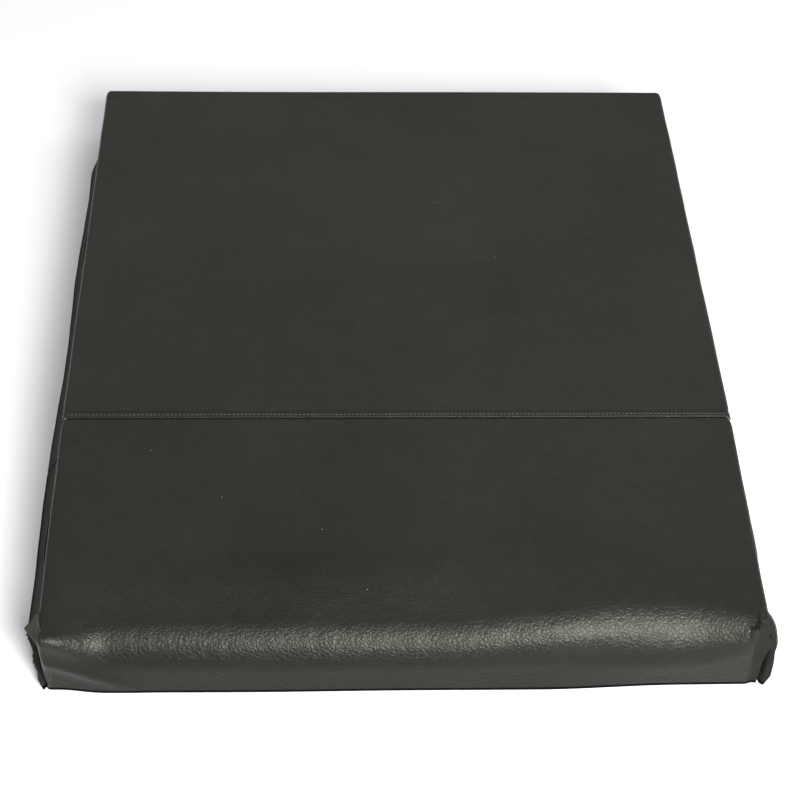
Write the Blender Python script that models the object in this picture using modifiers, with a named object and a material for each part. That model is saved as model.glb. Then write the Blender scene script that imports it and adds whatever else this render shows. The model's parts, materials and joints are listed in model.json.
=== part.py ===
"""Folding spa cover: two foam-filled vinyl panels joined by a sewn hinge.

The frame is in metres, +Z up. The origin is on the floor at the centre of the cover, +X is to the
right and +Y to the back. The short front panel lies towards -Y and the long back panel towards +Y.
Each panel is described by s, the distance from the fold line out along the panel, and by z.
"""

from math import atan, cos, pi, radians, sin

import bmesh
import bpy

# Driving dimensions
WIDTH = 1.600
LENGTH = 1.950
FRONT_LENGTH = 0.640
SEAT = 0.105
FOAM_AT_EDGE = 0.075
FOAM_AT_FOLD = 0.100
FRONT_NOSE_RADIUS = 0.062
BACK_NOSE_RADIUS = 0.018
HINGE_GAP = 0.024
SKIN_TURN_DOWN = 0.006

# Sheet materials
VINYL = 0.0012
FILM = 0.0005
STEEL = 0.0009
SKIRT_SHEET = 0.0024
TAPE = 0.0008
GAP = 0.0003

# Skirt flare at the hem, measured out from the panel's side
SIDE_FLARE = 0.045
END_FLARE = 0.010

# Hinge: the fold turns about a line just above the top, so that the two tops can lie face to face
STRIP_HALF = 0.0108
AXIS_LIFT = 0.002
GASKET_CLEARANCE = 0.0015
SKIRT_SPLIT = 0.0008

# Underside
RIM_WIDTH = 0.030
RIM_END_WIDTH = 0.034
ZIP_TAPE_WIDTH = 0.0107
ZIP_CHAIN_WIDTH = 0.0074
ZIP_CHAIN_DROP = 0.0012
ZIP_END_MARGIN = 0.020
ZIP_PULL_LIFT = 0.0020
CHANNEL_FLANGE = 0.030

# Fittings
STRAP_X = 0.550
STRAP_INSET = 0.020
STRAP_WIDTH = 0.038
STRAP_SHEET = 0.0014
STRAP_PIVOT_DROP = 0.0012
STRAP_EYE_RADIUS = 0.0036
STRAP_NECK = 0.0180
STRAP_LAP = 0.0100
BUCKLE_BAR_Z = 0.0500
HANDLE_S = {"front": 0.330, "back": 0.650}
HANDLE_LENGTH = 0.240
HANDLE_WIDTH = 0.025
HANDLE_SHEET = 0.0018
HANDLE_BOW = 0.006
HANDLE_SEWN = 0.035
HANDLE_RAMP = 0.025
PATCH_MARGIN_ALONG = 0.010
PATCH_MARGIN_UP = 0.006
EYELET_S = 0.110
DRAIN_RADIUS = 0.0055
SLIDER_LENGTH = 0.0150
SLIDER_WIDTH = 0.0100
SLIDER_HEIGHT = 0.0028
CROWN_LENGTH = 0.0090
CROWN_DEPTH = 0.0052
CROWN_WIRE = 0.0008
CROWN_CORNER = 0.0012
PULL_SHEET = 0.0012

FOLD_Y = FRONT_LENGTH - LENGTH / 2
HALF = WIDTH / 2
HINGE_FACE = HINGE_GAP / 2
CORE_INSET = VINYL + GAP + FILM + GAP
TOP_AT_FOLD = SEAT + CORE_INSET + FOAM_AT_FOLD + CORE_INSET
TOP_DROP = FOAM_AT_FOLD - FOAM_AT_EDGE
FOLD_AXIS = (0, FOLD_Y, TOP_AT_FOLD + AXIS_LIFT)
INNER_HALF = HALF - VINYL - GAP

# Rotations that lay a flat outline's (x, y) into the world
YZ_PLANE = (pi / 2, 0, pi / 2)
XZ_PLANE = (pi / 2, 0, 0)
XY_PLANE = (0, 0, 0)

for old in list(bpy.data.objects):
    bpy.data.objects.remove(old)
cover = bpy.data.collections.new("spa_cover")
helpers = bpy.data.collections.new("cutters")
for collection in (cover, helpers):
    bpy.context.scene.collection.children.link(collection)


def make_material(name, colour, roughness, metallic=0.0):
    material = bpy.data.materials.new(name)
    material.use_nodes = True
    shader = material.node_tree.nodes["Principled BSDF"]
    shader.inputs["Base Color"].default_value = (*colour, 1)
    shader.inputs["Roughness"].default_value = roughness
    shader.inputs["Metallic"].default_value = metallic
    return material


BLACK_VINYL = make_material("black_vinyl", (0.038, 0.040, 0.034), 0.45)
LINER_CLOTH = make_material("liner_cloth", (0.055, 0.057, 0.060), 0.80)
WEBBING = make_material("webbing", (0.018, 0.018, 0.018), 0.75)
FOAM = make_material("expanded_foam", (0.85, 0.86, 0.88), 0.85)
SOFT_FOAM = make_material("soft_foam", (0.16, 0.16, 0.17), 0.95)
FILM_SHEET = make_material("vapour_film", (0.60, 0.64, 0.68), 0.25)
GALVANISED = make_material("galvanised_steel", (0.56, 0.58, 0.60), 0.35, 1.0)
BRASS = make_material("brass", (0.72, 0.53, 0.24), 0.30, 1.0)
PLASTIC = make_material("moulded_plastic", (0.020, 0.020, 0.021), 0.40)
ZINC = make_material("zinc_slider", (0.30, 0.31, 0.32), 0.35, 1.0)


def link(name, data, material, collection=cover):
    obj = bpy.data.objects.new(name, data)
    collection.objects.link(obj)
    if material:
        data.materials.append(material)
    return obj


def signed_area(loop):
    following = loop[1:] + loop[:1]
    return sum(a[0] * b[1] - b[0] * a[1] for a, b in zip(loop, following)) / 2


def outline(name, loops, thickness, place, plane, material):
    """A flat outline with holes, thickness across its plane, centred on place."""
    curve = bpy.data.curves.new(name, "CURVE")
    curve.dimensions = "2D"
    curve.fill_mode = "BOTH"
    curve.extrude = thickness / 2
    for index, loop in enumerate(loops):
        counter_clockwise = signed_area(loop) > 0
        points = loop if counter_clockwise == (index == 0) else loop[::-1]
        spline = curve.splines.new("POLY")
        spline.points.add(len(points) - 1)
        for point, (u, v) in zip(spline.points, points):
            point.co = (u, v, 0, 1)
        spline.use_cyclic_u = True
    obj = link(name, curve, material)
    obj.location = place
    obj.rotation_euler = plane
    return obj


def slab(name, low, high, material):
    """A flat rectangular piece between two opposite corners."""
    bpy.ops.mesh.primitive_cube_add(size=1)
    obj = bpy.context.object
    obj.name = name
    obj.location = [(a + b) / 2 for a, b in zip(low, high)]
    obj.scale = [abs(b - a) for a, b in zip(low, high)]
    bpy.context.view_layer.update()
    bpy.ops.object.transform_apply(location=False, rotation=False, scale=True)
    for used in list(obj.users_collection):
        used.objects.unlink(obj)
    cover.objects.link(obj)
    obj.data.materials.append(material)
    return obj


def flap(name, top_low, top_high, hem_low, hem_high, material):
    """A hanging sheet between a rectangle at its sewn top and one at its hem, given by corners."""
    mesh = bpy.data.meshes.new(name)
    block = bmesh.new()
    for vert in bmesh.ops.create_cube(block, size=2)["verts"]:
        low, high = (top_low, top_high) if vert.co.z > 0 else (hem_low, hem_high)
        vert.co.x = high[0] if vert.co.x > 0 else low[0]
        vert.co.y = high[1] if vert.co.y > 0 else low[1]
        vert.co.z = low[2]
    block.to_mesh(mesh)
    block.free()
    return link(name, mesh, material)


def as_mesh(obj):
    """The object's evaluated shape as a mesh object of the same name and place."""
    bpy.context.view_layer.update()
    evaluated = obj.evaluated_get(bpy.context.evaluated_depsgraph_get())
    mesh = bpy.data.meshes.new_from_object(evaluated)
    name, place = obj.name, obj.matrix_world.copy()
    bpy.data.objects.remove(obj)
    cleaner = bmesh.new()
    cleaner.from_mesh(mesh)
    bmesh.ops.remove_doubles(cleaner, verts=cleaner.verts, dist=1e-6)
    cleaner.to_mesh(mesh)
    cleaner.free()
    result = link(name, mesh, None)
    result.matrix_world = place
    return result


def hang(child, parent):
    """Parent child to parent without moving it."""
    bpy.context.view_layer.update()
    child.parent = parent
    child.matrix_parent_inverse = parent.matrix_world.inverted()


def arc(centre, radius, start, end, steps):
    """Points on an arc, angles in degrees, both ends included."""
    angles = [radians(start + (end - start) * i / steps) for i in range(steps + 1)]
    return [(centre[0] + radius * cos(a), centre[1] + radius * sin(a)) for a in angles]


def thickened(path, thickness):
    """Closed outline of a sheet that follows path and is thickness deep on its left."""
    inner = []
    for i, (x, y) in enumerate(path):
        before = path[max(i - 1, 0)]
        after = path[min(i + 1, len(path) - 1)]
        normals = []
        for a, b in ((before, (x, y)), ((x, y), after)):
            length = ((b[0] - a[0]) ** 2 + (b[1] - a[1]) ** 2) ** 0.5
            if length > 0:
                normals.append((-(b[1] - a[1]) / length, (b[0] - a[0]) / length))
        first, last = normals[0], normals[-1]
        mitre = 1 + first[0] * last[0] + first[1] * last[1]
        shift = [thickness * (m + n) / mitre for m, n in zip(first, last)]
        inner.append((x + shift[0], y + shift[1]))
    return path + inner[::-1]


class Panel:
    """One half of the cover: its profile in (s, z) and its pieces."""

    def __init__(self, name, side, length, nose):
        self.name, self.side, self.length, self.nose = name, side, length, nose
        self.slope = atan(TOP_DROP / length)

    def y(self, s):
        return FOLD_Y + self.side * s

    def top(self, s, inset=0.0):
        return TOP_AT_FOLD - TOP_DROP * s / self.length - inset / cos(self.slope)

    def nose_centre(self):
        s = self.length - self.nose
        return s, self.top(s) - self.nose / cos(self.slope)

    def nose_arc(self, inset, steps=10):
        """From the end face up and round to the top face."""
        slope_degrees = self.slope * 180 / pi
        return arc(self.nose_centre(), self.nose - inset, 0, 90 - slope_degrees, steps)

    def profile(self, inset, hinge, bottom):
        """Closed outline at one inset from the top and the end."""
        return [
            (hinge, bottom),
            (self.length - inset, bottom),
            *self.nose_arc(inset),
            (hinge, self.top(hinge, inset)),
        ]

    def prism(self, part, outline_sz, low_x, high_x, material):
        """An outline in (s, z) drawn out along X."""
        loop = [(self.y(s), z) for s, z in outline_sz]
        place = ((low_x + high_x) / 2, 0, 0)
        return outline(f"{self.name}_{part}", [loop], high_x - low_x, place, YZ_PLANE, material)

    def plate(self, part, low, high, material):
        """A slab between two corners given as (x, s, z)."""
        corners = [(x, self.y(s), z) for x, s, z in (low, high)]
        return slab(f"{self.name}_{part}", *corners, material)

    def core(self):
        """Foam core, rebated at the hinge edge for the steel channel."""
        start = HINGE_FACE + CORE_INSET + STEEL + GAP
        flange_end = HINGE_FACE + CORE_INSET + CHANNEL_FLANGE + GAP
        rebate = STEEL + GAP
        bottom = SEAT + CORE_INSET
        loop = [
            (start, bottom + rebate),
            (flange_end, bottom + rebate),
            (flange_end, bottom),
            (self.length - CORE_INSET, bottom),
            *self.nose_arc(CORE_INSET),
            (flange_end, self.top(flange_end, CORE_INSET)),
            (flange_end, self.top(flange_end, CORE_INSET + rebate)),
            (start, self.top(start, CORE_INSET + rebate)),
        ]
        half = HALF - CORE_INSET
        self.prism("foam_core", loop, -half, half, FOAM)

    def channel(self):
        """Steel channel folded over the hinge edge of the foam."""
        web = HINGE_FACE + CORE_INSET
        tip = web + CHANNEL_FLANGE
        bottom = SEAT + CORE_INSET
        loop = [
            (tip, bottom),
            (web, bottom),
            (web, self.top(web, CORE_INSET)),
            (tip, self.top(tip, CORE_INSET)),
            (tip, self.top(tip, CORE_INSET + STEEL)),
            (web + STEEL, self.top(web, CORE_INSET + STEEL)),
            (web + STEEL, bottom + STEEL),
            (tip, bottom + STEEL),
        ]
        half = HALF - CORE_INSET - GAP
        self.prism("stiffener_channel", loop, -half, half, GALVANISED)

    def film(self):
        """Moisture film: a sleeve open at the hinge edge, and the strip that seals it."""
        inset = VINYL + GAP + FILM
        mouth = HINGE_FACE + CORE_INSET
        half = HALF - inset
        loop = self.profile(inset, mouth, SEAT + inset)
        sleeve = as_mesh(self.prism("vapour_barrier", loop, -half, half, FILM_SHEET))
        shell = bmesh.new()
        shell.from_mesh(sleeve.data)
        bmesh.ops.recalc_face_normals(shell, faces=shell.faces)
        mouth_y = self.y(mouth)
        at_mouth = [
            face for face in shell.faces if all(abs(vert.co.x - mouth_y) < 1e-5 for vert in face.verts)
        ]
        bmesh.ops.delete(shell, geom=at_mouth, context="FACES")
        shell.to_mesh(sleeve.data)
        shell.free()
        skin = sleeve.modifiers.new("film", "SOLIDIFY")
        skin.thickness = FILM
        skin.offset = 1
        skin.use_even_offset = True
        seal = HINGE_FACE + VINYL + GAP
        low = (-half, seal, SEAT + inset)
        high = (half, seal + FILM, self.top(seal, inset))
        self.plate("barrier_seal", low, high, FILM_SHEET)

    def top_skin(self, low_end):
        """Vinyl over the top and round the nose, down to low_end on the end face."""
        outer = [
            (self.length, low_end),
            *self.nose_arc(0),
            (STRIP_HALF + GAP, self.top(STRIP_HALF + GAP)),
        ]
        self.prism("top_skin", thickened(outer, VINYL), -HALF, HALF, BLACK_VINYL)

    def side_bands(self):
        """Flat vinyl sides under the edges of the top skin."""
        loop = self.profile(VINYL + GAP, HINGE_FACE + VINYL + GAP, SEAT)
        self.prism("left_band", loop, -HALF, -HALF + VINYL, BLACK_VINYL)
        self.prism("right_band", loop, HALF - VINYL, HALF, BLACK_VINYL)

    def end_band(self):
        """Flat vinyl closing the end face below the nose."""
        top = self.nose_centre()[1] - SKIN_TURN_DOWN - GAP
        low = (-HALF, self.length - VINYL, SEAT)
        self.plate("end_band", low, (HALF, self.length, top), BLACK_VINYL)

    def hinge_facing(self):
        """Vinyl closing the hinge side of the pocket."""
        top = self.top(HINGE_FACE + VINYL, VINYL + GAP)
        low = (-HALF, HINGE_FACE, SEAT)
        self.plate("hinge_facing", low, (HALF, HINGE_FACE + VINYL, top), BLACK_VINYL)

    def underside(self):
        """Rim strip that bears on the tub, and the cloth liner inside it."""
        near = HINGE_FACE + VINYL + GAP
        far = self.length - VINYL - GAP
        inner = INNER_HALF - RIM_WIDTH
        inner_far = far - RIM_END_WIDTH
        rim = [
            (-INNER_HALF, near),
            (-INNER_HALF, far),
            (INNER_HALF, far),
            (INNER_HALF, near),
            (inner, near),
            (inner, inner_far),
            (-inner, inner_far),
            (-inner, near),
        ]
        loop = [(x, self.y(s)) for x, s in rim]
        place = (0, 0, SEAT + VINYL / 2)
        strip = outline(f"{self.name}_rim_strip", [loop], VINYL, place, XY_PLANE, BLACK_VINYL)
        self.drains(as_mesh(strip))
        liner_near = near + 2 * ZIP_TAPE_WIDTH + ZIP_CHAIN_WIDTH + 4 * GAP
        low = (-inner + GAP, liner_near, SEAT)
        self.plate("underside_liner", low, (inner - GAP, inner_far - GAP, SEAT + VINYL), LINER_CLOTH)

    def drains(self, strip):
        """Brass eyelets through the rim strip, one on each side."""
        for side, sign in (("left", -1), ("right", 1)):
            centre = (sign * (INNER_HALF - RIM_WIDTH / 2), self.y(EYELET_S), SEAT)
            size = {"vertices": 24, "radius": DRAIN_RADIUS, "depth": 0.01}
            bpy.ops.mesh.primitive_cylinder_add(**size, location=centre)
            cutter = bpy.context.object
            cutter.name = f"{self.name}_{side}_drain_cutter"
            cutter.hide_render = True
            cutter.display_type = "WIRE"
            for used in list(cutter.users_collection):
                used.objects.unlink(cutter)
            helpers.objects.link(cutter)
            hole = strip.modifiers.new("drain", "BOOLEAN")
            hole.operation = "DIFFERENCE"
            hole.object = cutter
            eyelet(f"{self.name}_{side}_drain_eyelet", centre)

    def zipper(self):
        """Zip along the hinge edge of the underside, through which the foam comes out."""
        near = HINGE_FACE + VINYL + 2 * GAP
        half = INNER_HALF - RIM_WIDTH - GAP
        top = SEAT + TAPE
        inner_end = near + ZIP_TAPE_WIDTH
        self.plate("zip_tape_inner", (-half, near, SEAT), (half, inner_end, top), WEBBING)
        chain = inner_end + GAP
        chain_end = chain + ZIP_CHAIN_WIDTH
        low = (-half, chain, SEAT - ZIP_CHAIN_DROP)
        self.plate("zip_chain", low, (half, chain_end, top), PLASTIC)
        outer = chain_end + GAP
        outer_end = outer + ZIP_TAPE_WIDTH
        self.plate("zip_tape_outer", (-half, outer, SEAT), (half, outer_end, top), WEBBING)
        centre_x = -half + ZIP_END_MARGIN
        zip_slider(self.name, centre_x, self.y((chain + chain_end) / 2))

    def hanging(self, part, top_x, top_s, hem_x, hem_s):
        """A flap between two (x, s) rectangles, the first at the underside, the second on the floor."""
        corners = []
        for xs, ss, z in ((top_x, top_s, SEAT - GAP), (hem_x, hem_s, 0)):
            ys = sorted(self.y(s) for s in ss)
            corners += [(min(xs), ys[0], z), (max(xs), ys[1], z)]
        flap(f"{self.name}_{part}", *corners, BLACK_VINYL)

    def skirts(self):
        """Two side skirts and the end skirt, sewn to the edge of the underside and leaning out."""
        hem_half, hem_end = HALF + SIDE_FLARE, self.length + END_FLARE
        inner, hem_inner = self.length - SKIRT_SHEET, hem_end - SKIRT_SHEET
        for side, sign in (("left", -1), ("right", 1)):
            top_x = (sign * HALF, sign * (HALF - SKIRT_SHEET))
            hem_x = (sign * hem_half, sign * (hem_half - SKIRT_SHEET))
            top_s, hem_s = (SKIRT_SPLIT, inner - GAP), (SKIRT_SPLIT, hem_inner - GAP)
            self.hanging(f"{side}_skirt", top_x, top_s, hem_x, hem_s)
        across, hem_across = (-HALF, HALF), (-hem_half, hem_half)
        self.hanging("end_skirt", across, (inner, self.length), hem_across, (hem_inner, hem_end))

    def handles(self, s):
        """A bowed webbing handle and its sewn-on patch on each side band."""
        for side, sign in (("left", -1), ("right", 1)):
            patch_out = HALF + GAP + VINYL
            half = HANDLE_LENGTH / 2
            z = SEAT + FOAM_AT_EDGE / 2
            along, up = half + PATCH_MARGIN_ALONG, HANDLE_WIDTH / 2 + PATCH_MARGIN_UP
            low = (sign * (HALF + GAP), s - along, z - up)
            high = (sign * patch_out, s + along, z + up)
            self.plate(f"{side}_handle_patch", low, high, BLACK_VINYL)
            flat, rise = patch_out + GAP, patch_out + GAP + HANDLE_BOW
            path = [
                (-half, flat),
                (-half + HANDLE_SEWN, flat),
                (-half + HANDLE_SEWN + HANDLE_RAMP, rise),
                (half - HANDLE_SEWN - HANDLE_RAMP, rise),
                (half - HANDLE_SEWN, flat),
                (half, flat),
            ]
            loop = [(sign * x, y) for y, x in thickened(path, HANDLE_SHEET)]
            name = f"{self.name}_{side}_handle"
            outline(name, [loop], HANDLE_WIDTH, (0, self.y(s), z), XY_PLANE, WEBBING)

    def straps(self):
        """A tie-down strap and its buckle near each outer corner."""
        s = self.length - STRAP_INSET
        for side, sign in (("left", -1), ("right", 1)):
            tie_down(f"{self.name}_{side}", sign * STRAP_X, self.y(s), self.side)


def eyelet(name, centre):
    """A turned brass eyelet whose flange lies under the vinyl."""
    barrel_in, barrel_out, flange_out = 0.0042, 0.0050, 0.0085
    profile = [
        (barrel_out, VINYL),
        (barrel_out, -GAP),
        (flange_out, -GAP),
        (flange_out - 0.0003, -0.0010),
        (barrel_in, -0.0010),
        (barrel_in, VINYL),
    ]
    mesh = bpy.data.meshes.new(name)
    mesh.from_pydata([(r, 0, z) for r, z in profile], [(i, (i + 1) % 6) for i in range(6)], [])
    ring = link(name, mesh, BRASS)
    ring.location = centre
    turn = ring.modifiers.new("turn", "SCREW")
    turn.steps = turn.render_steps = 24
    turn.use_merge_vertices = True
    turn.merge_threshold = 0.00001


def zip_slider(panel_name, x, y):
    """Slider body with its crown loop under the chain, and the pull tab that hangs from it."""
    top = SEAT - ZIP_CHAIN_DROP - GAP
    floor = top - SLIDER_HEIGHT
    low = (x - SLIDER_LENGTH / 2, y - SLIDER_WIDTH / 2, floor)
    high = (x + SLIDER_LENGTH / 2, y + SLIDER_WIDTH / 2, top)
    body = slab(f"{panel_name}_zip_slider", low, high, ZINC)
    crown = bpy.data.curves.new("crown", "CURVE")
    crown.dimensions = "3D"
    crown.bevel_depth = CROWN_WIRE
    crown.bevel_resolution = 2
    crown.use_fill_caps = True
    half, inside, deep = CROWN_LENGTH / 2, floor + 0.0010, floor - CROWN_DEPTH
    route = [(-half, inside), (-half, deep + CROWN_CORNER), (-half + CROWN_CORNER, deep)]
    route += [(half - CROWN_CORNER, deep), (half, deep + CROWN_CORNER), (half, inside)]
    spline = crown.splines.new("POLY")
    spline.points.add(len(route) - 1)
    for point, (along, z) in zip(spline.points, route):
        point.co = (along, 0, z, 1)
    loop = link(f"{panel_name}_zip_crown", crown, None)
    loop.location = (x, y, 0)
    loop = as_mesh(loop)
    loop.hide_render = True
    loop.display_type = "WIRE"
    cover.objects.unlink(loop)
    helpers.objects.link(loop)
    join = body.modifiers.new("crown", "BOOLEAN")
    join.operation = "UNION"
    join.object = loop
    pull = pull_tab(f"{panel_name}_zip_pull", x, y, deep + ZIP_PULL_LIFT)
    hang(pull, body)


def pull_tab(name, x, y, axis_z):
    """A flat slotted tab that turns about its own top bar, which lies inside the crown loop."""
    bar, slot_length, slot_half = 0.0007, 0.0078, 0.0017
    rim, length, half = 0.0014, 0.0320, 0.0042
    outer = [
        (-slot_half - rim, bar),
        (slot_half + rim, bar),
        (half, -slot_length),
        *arc((0, half - length), half, 0, -180, 8),
        (-half, -slot_length),
    ]
    slot = [(-slot_half, -bar), (slot_half, -bar), (slot_half, -slot_length), (-slot_half, -slot_length)]
    return outline(name, [outer, slot], PULL_SHEET, (x, y, axis_z), YZ_PLANE, ZINC)


def tie_down(name, x, y, out):
    """Webbing sewn to the underside, with an eye at its end round the buckle's bar."""
    sewn_z = SEAT - STRAP_PIVOT_DROP
    drop = BUCKLE_BAR_Z - sewn_z
    neck = drop + STRAP_NECK
    path = [
        (-STRAP_SHEET / 2, 0),
        (-STRAP_SHEET / 2, neck + STRAP_LAP),
        (STRAP_EYE_RADIUS, neck),
        (STRAP_EYE_RADIUS, drop),
        *arc((0, drop), STRAP_EYE_RADIUS, 0, -180, 8)[1:],
        (-STRAP_EYE_RADIUS, neck),
    ]
    loop = [(out * a, z) for a, z in thickened(path, STRAP_SHEET)]
    strap = outline(f"{name}_strap", [loop], STRAP_WIDTH, (x, y, sewn_z), YZ_PLANE, WEBBING)
    hang(buckle(f"{name}_buckle", x, y, BUCKLE_BAR_Z), strap)


def buckle(name, x, y, bar_z):
    """Male half of a side-release buckle: webbing bar, body, guide and two sprung prongs."""
    bar, half, slot_half, slot_depth = 0.0015, 0.0235, 0.0200, 0.0090
    body_low = -bar - slot_depth - 0.0060
    shoulder, tip = body_low - 0.0120, body_low - 0.0230
    right_prong = [
        (0.0190, body_low),
        (0.0205, shoulder),
        (0.0225, shoulder - 0.0015),
        (0.0180, tip + 0.0020),
        (0.0150, tip),
        (0.0145, shoulder),
        (0.0130, body_low),
    ]
    guide = [(0.0030, body_low), (0.0025, tip), (-0.0025, tip), (-0.0030, body_low)]
    left_prong = [(-u, v) for u, v in right_prong[::-1]]
    outer = [(-half, bar), (half, bar), (half, body_low), *right_prong, *guide, *left_prong]
    outer += [(-half, body_low)]
    slot_end = -bar - slot_depth
    slot = [(-slot_half, -bar), (slot_half, -bar), (slot_half, slot_end), (-slot_half, slot_end)]
    return outline(name, [outer, slot], 2 * bar, (x, y, bar_z), XZ_PLANE, PLASTIC)


def hinge():
    """The sewn vinyl strip over the fold, and the foam gasket that fills the gap under it."""
    low = (-HALF, FOLD_Y - STRIP_HALF, TOP_AT_FOLD - VINYL)
    slab("hinge_strip", low, (HALF, FOLD_Y + STRIP_HALF, TOP_AT_FOLD), BLACK_VINYL)
    half = HINGE_FACE - GASKET_CLEARANCE
    low = (-HALF + 0.004, FOLD_Y - half, SEAT + 0.004)
    high = (HALF - 0.004, FOLD_Y + half, TOP_AT_FOLD - VINYL - GAP)
    gasket = slab("hinge_gasket", low, high, SOFT_FOAM)
    rounding = gasket.modifiers.new("rounding", "BEVEL")
    rounding.width = 0.005
    rounding.segments = 3


def build_panel(panel):
    panel.core()
    panel.channel()
    panel.film()
    panel.side_bands()
    panel.hinge_facing()
    panel.underside()
    panel.zipper()
    panel.skirts()
    panel.handles(HANDLE_S[panel.name])
    panel.straps()


front = Panel("front", -1, FRONT_LENGTH, FRONT_NOSE_RADIUS)
back = Panel("back", 1, LENGTH - FRONT_LENGTH, BACK_NOSE_RADIUS)
front.top_skin(SEAT)
back.top_skin(back.nose_centre()[1] - SKIN_TURN_DOWN)
back.end_band()
build_panel(front)
build_panel(back)
hinge()

fold = bpy.data.objects.new("front_panel_fold", None)
fold.location = FOLD_AXIS
cover.objects.link(fold)
for piece in list(cover.objects):
    if piece.name.startswith("front_") and piece.parent is None and piece is not fold:
        hang(piece, fold)
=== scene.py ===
"""Looks of a folding spa cover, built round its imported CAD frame.

Each panel is one rounded solid, given as a distance in (x, s, z), where s runs out from the fold.
Vinyl skin, moisture film and foam are found by casting rays onto that solid at their own insets,
so no layer can show through the next. Lengths are in metres.
"""

import json
import math

import bpy
import numpy as np
from mathutils import Matrix, Vector


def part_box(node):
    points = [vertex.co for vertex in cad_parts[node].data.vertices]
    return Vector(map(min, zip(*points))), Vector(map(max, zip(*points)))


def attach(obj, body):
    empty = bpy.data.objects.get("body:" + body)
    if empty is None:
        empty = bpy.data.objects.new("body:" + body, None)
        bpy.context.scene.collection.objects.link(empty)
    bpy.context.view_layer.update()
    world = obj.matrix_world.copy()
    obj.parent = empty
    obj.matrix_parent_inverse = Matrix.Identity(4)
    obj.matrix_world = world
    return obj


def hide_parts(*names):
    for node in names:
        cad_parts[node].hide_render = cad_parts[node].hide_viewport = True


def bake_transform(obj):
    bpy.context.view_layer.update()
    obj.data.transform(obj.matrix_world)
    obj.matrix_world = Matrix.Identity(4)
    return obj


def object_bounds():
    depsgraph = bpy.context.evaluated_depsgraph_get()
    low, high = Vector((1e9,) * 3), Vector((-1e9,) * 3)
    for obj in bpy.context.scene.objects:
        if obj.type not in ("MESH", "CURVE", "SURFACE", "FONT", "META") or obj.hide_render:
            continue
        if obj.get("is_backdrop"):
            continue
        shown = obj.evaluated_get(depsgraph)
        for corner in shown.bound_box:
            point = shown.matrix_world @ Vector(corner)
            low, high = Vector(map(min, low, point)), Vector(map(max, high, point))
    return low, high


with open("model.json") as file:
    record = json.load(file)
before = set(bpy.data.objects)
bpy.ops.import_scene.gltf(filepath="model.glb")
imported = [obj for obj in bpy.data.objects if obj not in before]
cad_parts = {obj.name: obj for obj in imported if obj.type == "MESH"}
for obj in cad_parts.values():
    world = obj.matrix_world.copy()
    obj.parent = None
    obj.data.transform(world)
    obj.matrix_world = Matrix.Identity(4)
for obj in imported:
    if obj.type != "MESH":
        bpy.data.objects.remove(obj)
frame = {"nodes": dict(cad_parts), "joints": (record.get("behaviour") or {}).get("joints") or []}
cad_low, cad_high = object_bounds()

# ------------------------------------------------------------------ sizes read from the frame
FOLD = next(j for j in frame["joints"] if j["name"] == "front_panel_fold")
FOLD_Y = FOLD["pos_m"][1]
RIDGE_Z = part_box("hinge_strip")[1].z
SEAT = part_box("front_rim_strip")[0].z
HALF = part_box("front_top_skin")[1].x
SIDE = {"front": -1, "back": 1}
HANDS = (("left", -1), ("right", 1))
LENGTH = {
    "front": FOLD_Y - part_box("front_top_skin")[0].y,
    "back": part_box("back_top_skin")[1].y - FOLD_Y,
}
CHANNEL_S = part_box("back_stiffener_channel")[0].y - FOLD_Y
FACING_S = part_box("back_hinge_facing")[0].y - FOLD_Y
UNDER_S = FACING_S + 0.0015
SIDE_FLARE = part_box("back_right_skirt")[1].x - HALF
END_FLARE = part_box("back_end_skirt")[1].y - LENGTH["back"] - FOLD_Y

# ------------------------------------------------------------------ how the vinyl lies
EDGE_Z = 0.1846
NOSE = {"front": 0.062, "back": 0.013}
EDGE_RADIUS = 0.011
CORNER_RADIUS = {"front": 0.040, "back": 0.020}
LEFT_CORNER_RADIUS = 0.012
SKIN, FILM = 0.0014, 0.0004
# Height of the painted-shadow band along the hem.
HEM_SHADOW_HEIGHT = 0.0085
FILM_INSET, CHANNEL_INSET, FOAM_INSET = 0.0017, 0.0023, 0.0034
SEAM_DIP, SEAM_WIDTH = 0.0020, 0.004
LEFT_LEAN, RIGHT_LEAN = (0.0091, 0.0064), (-0.0050, -0.0052)
BAND_HALF = 0.0084
GROOVE_AT, GROOVE_DEPTH, GROOVE_WIDTH = 0.0100, 0.0014, 0.0026
TUCK_START, TUCK_END = 0.17, 0.03
SAG, LEFT_SAG, SAG_RUN = 0.010, 0.036, 0.24
SWELL, MIDDLE_SWELL, RIGHT_SWELL = 0.010, 0.018, 0.024


def stack(*columns):
    """Points from their coordinates, one array or number for each axis."""
    return np.stack(np.broadcast_arrays(*columns), axis=-1)


def smooth(low, high, value):
    t = np.clip((value - low) / (high - low), 0, 1)
    return t * t * (3 - 2 * t)


def bell(value, width):
    return np.exp(-((value / width) ** 2))


def rounded_and(a, b, radius):
    """Inside where both distances are negative, with the edge between them rounded."""
    u, v = np.maximum(a + radius, 0), np.maximum(b + radius, 0)
    return np.minimum(-radius, np.maximum(a, b)) + np.sqrt(u * u + v * v)


def joined(a, b, blend):
    """Inside either distance, with a soft fillet between them."""
    h = np.clip(0.5 + 0.5 * (b - a) / blend, 0, 1)
    return b * (1 - h) + a * h - blend * h * (1 - h)


def hills(x, y, scale, seed):
    """Gentle unevenness of about -1 to 1, from a few crossing waves."""
    rng = np.random.default_rng(seed)
    total = np.zeros(np.broadcast(x, y).shape)
    for _ in range(7):
        angle, phase = rng.uniform(0, 2 * math.pi, 2)
        pitch = scale * rng.uniform(0.7, 1.6)
        total += np.sin((x * math.cos(angle) + y * math.sin(angle)) * 2 * math.pi / pitch + phase)
    return total / 4.5


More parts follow.
